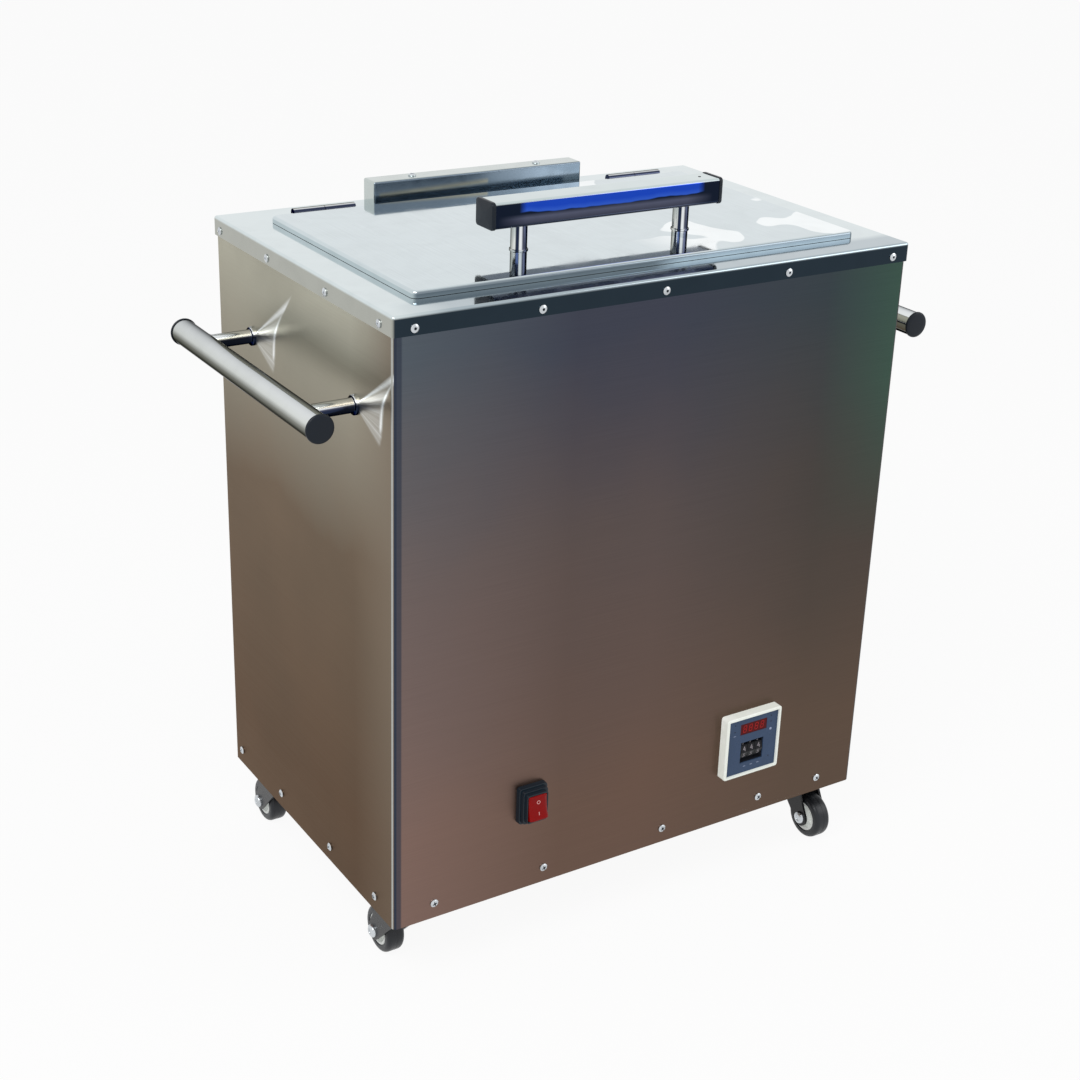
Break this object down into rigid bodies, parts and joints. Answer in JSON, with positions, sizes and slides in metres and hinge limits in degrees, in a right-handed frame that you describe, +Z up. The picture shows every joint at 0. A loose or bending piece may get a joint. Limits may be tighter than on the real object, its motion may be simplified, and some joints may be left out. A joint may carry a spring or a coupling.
{
  "type": "hot pack heater",
  "caption": "Stainless water-bath heater for moist heat packs: hinged lid, rack of slots, side handles, rocker switch, dialled thermostat and swivel casters.",
  "frame": {"origin": "on the floor, under the middle of the overall width and depth", "axes": "+X to the right as the operator sees the front, +Y from the front to the back, +Z up"},
  "size_m": [0.7134, 0.4476, 0.7537],
  "materials": {
    "polished_steel": "mirror-polished stainless sheet",
    "brushed_steel": "brushed stainless sheet, semi-gloss",
    "tube_steel": "polished stainless tube and bar",
    "zinc": "bright zinc plated steel",
    "wire_steel": "electropolished stainless wire and plate",
    "black_plastic": "moulded black plastic, satin",
    "ivory_plastic": "moulded ivory plastic, satin",
    "face_blue": "printed blue panel film",
    "display_red": "dark red display filter",
    "dial_black": "black numbered wheels",
    "switch_black": "glossy black plastic",
    "rocker_red": "glossy red translucent plastic",
    "insulation": "glass fibre mat",
    "element_steel": "heat-tinted stainless sheath",
    "brass": "plain brass",
    "lever_red": "vinyl dipped lever",
    "caster_black": "black coated pressed steel",
    "wheel_rubber": "dark rubber tyre on a moulded core"
  },
  "bodies": {
    "chassis": {"wrap_panel": "brushed_steel", "back_panel": "brushed_steel", "deck": "polished_steel", "deck_screws": "zinc", "base_tray": "brushed_steel", "panel_screws": "zinc", "tank": "brushed_steel", "tank_insulation": "insulation", "heating_element": "element_steel", "element_nuts": "brass", "temperature_probe": "wire_steel", "guard_shelf": "wire_steel", "shelf_feet": "wire_steel", "tank_flange": "brushed_steel", "rack_loops": "wire_steel", "rack_bails": "wire_steel", "rack_dividers": "wire_steel", "lid_stop_bar": "polished_steel", "stop_bar_screws": "zinc", "side_handle_tubes": "tube_steel", "side_handle_posts": "tube_steel", "side_handle_caps": "black_plastic", "side_handle_nuts": "zinc", "controller_case": "ivory_plastic", "controller_face": "face_blue", "controller_display": "display_red", "switch_body": "switch_black", "contactor": "black_plastic", "terminal_block": "ivory_plastic", "cable_gland": "black_plastic", "drain_pipe": "tube_steel", "drain_valve": "brass", "caster_plates": "caster_black", "caster_bolts": "zinc", "hinge_deck_knuckles": "polished_steel", "hinge_pins": "zinc"},
    "lid": {"lid_skin": "polished_steel", "lid_insulation": "insulation", "lid_liner": "brushed_steel", "lid_handle_bar": "tube_steel", "lid_handle_caps": "black_plastic", "lid_handle_posts": "tube_steel", "hinge_lid_knuckles": "polished_steel"},
    "rocker": {"switch_rocker": "rocker_red"},
    "lever": {"drain_lever": "lever_red"},
    "dial_1": {"setting_wheel_1": "dial_black"},
    "dial_2": {"setting_wheel_2": "dial_black"},
    "dial_3": {"setting_wheel_3": "dial_black"},
    "front_left_swivel": {"front_left_fork": "caster_black", "front_left_axle": "zinc"},
    "front_left_roller": {"front_left_wheel": "wheel_rubber"},
    "front_right_swivel": {"front_right_fork": "caster_black", "front_right_axle": "zinc"},
    "front_right_roller": {"front_right_wheel": "wheel_rubber"},
    "rear_left_swivel": {"rear_left_fork": "caster_black", "rear_left_axle": "zinc"},
    "rear_left_roller": {"rear_left_wheel": "wheel_rubber"},
    "rear_right_swivel": {"rear_right_fork": "caster_black", "rear_right_axle": "zinc"},
    "rear_right_roller": {"rear_right_wheel": "wheel_rubber"}
  },
  "joints": [
    {"name": "lid_hinge", "type": "hinge", "parent": "chassis", "child": "lid", "pos_m": [0, 0.13528, 0.701], "axis": [-1, 0, 0], "range_deg": [0, 112]},
    {"name": "power_rocker", "type": "hinge", "parent": "chassis", "child": "rocker", "pos_m": [-0.136, -0.21422, 0.176], "axis": [1, 0, 0], "range_deg": [0, 18]},
    {"name": "setting_dial_1", "type": "hinge", "parent": "chassis", "child": "dial_1", "pos_m": [0.126, -0.20129, 0.1615], "axis": [1, 0, 0], "continuous": true},
    {"name": "setting_dial_2", "type": "hinge", "parent": "chassis", "child": "dial_2", "pos_m": [0.1355, -0.20129, 0.1615], "axis": [1, 0, 0], "continuous": true},
    {"name": "setting_dial_3", "type": "hinge", "parent": "chassis", "child": "dial_3", "pos_m": [0.145, -0.20129, 0.1615], "axis": [1, 0, 0], "continuous": true},
    {"name": "drain_tap", "type": "hinge", "parent": "chassis", "child": "lever", "pos_m": [-0.17, 0.19278, 0.224], "axis": [0, 0, 1], "range_deg": [0, 90]},
    {"name": "front_left_caster", "type": "hinge", "parent": "chassis", "child": "front_left_swivel", "pos_m": [-0.259, -0.15522, 0.057], "axis": [0, 0, 1], "continuous": true},
    {"name": "front_left_spin", "type": "hinge", "parent": "front_left_swivel", "child": "front_left_roller", "pos_m": [-0.259, -0.13122, 0.025], "axis": [1, 0, 0], "continuous": true},
    {"name": "front_right_caster", "type": "hinge", "parent": "chassis", "child": "front_right_swivel", "pos_m": [0.259, -0.15522, 0.057], "axis": [0, 0, 1], "continuous": true},
    {"name": "front_right_spin", "type": "hinge", "parent": "front_right_swivel", "child": "front_right_roller", "pos_m": [0.259, -0.17922, 0.025], "axis": [1, 0, 0], "continuous": true},
    {"name": "rear_left_caster", "type": "hinge", "parent": "chassis", "child": "rear_left_swivel", "pos_m": [-0.259, 0.12678, 0.057], "axis": [0, 0, 1], "continuous": true},
    {"name": "rear_left_spin", "type": "hinge", "parent": "rear_left_swivel", "child": "rear_left_roller", "pos_m": [-0.259, 0.15078, 0.025], "axis": [1, 0, 0], "continuous": true},
    {"name": "rear_right_caster", "type": "hinge", "parent": "chassis", "child": "rear_right_swivel", "pos_m": [0.259, 0.12678, 0.057], "axis": [0, 0, 1], "continuous": true},
    {"name": "rear_right_spin", "type": "hinge", "parent": "rear_right_swivel", "child": "rear_right_roller", "pos_m": [0.259, 0.15078, 0.025], "axis": [1, 0, 0], "continuous": true}
  ]
}
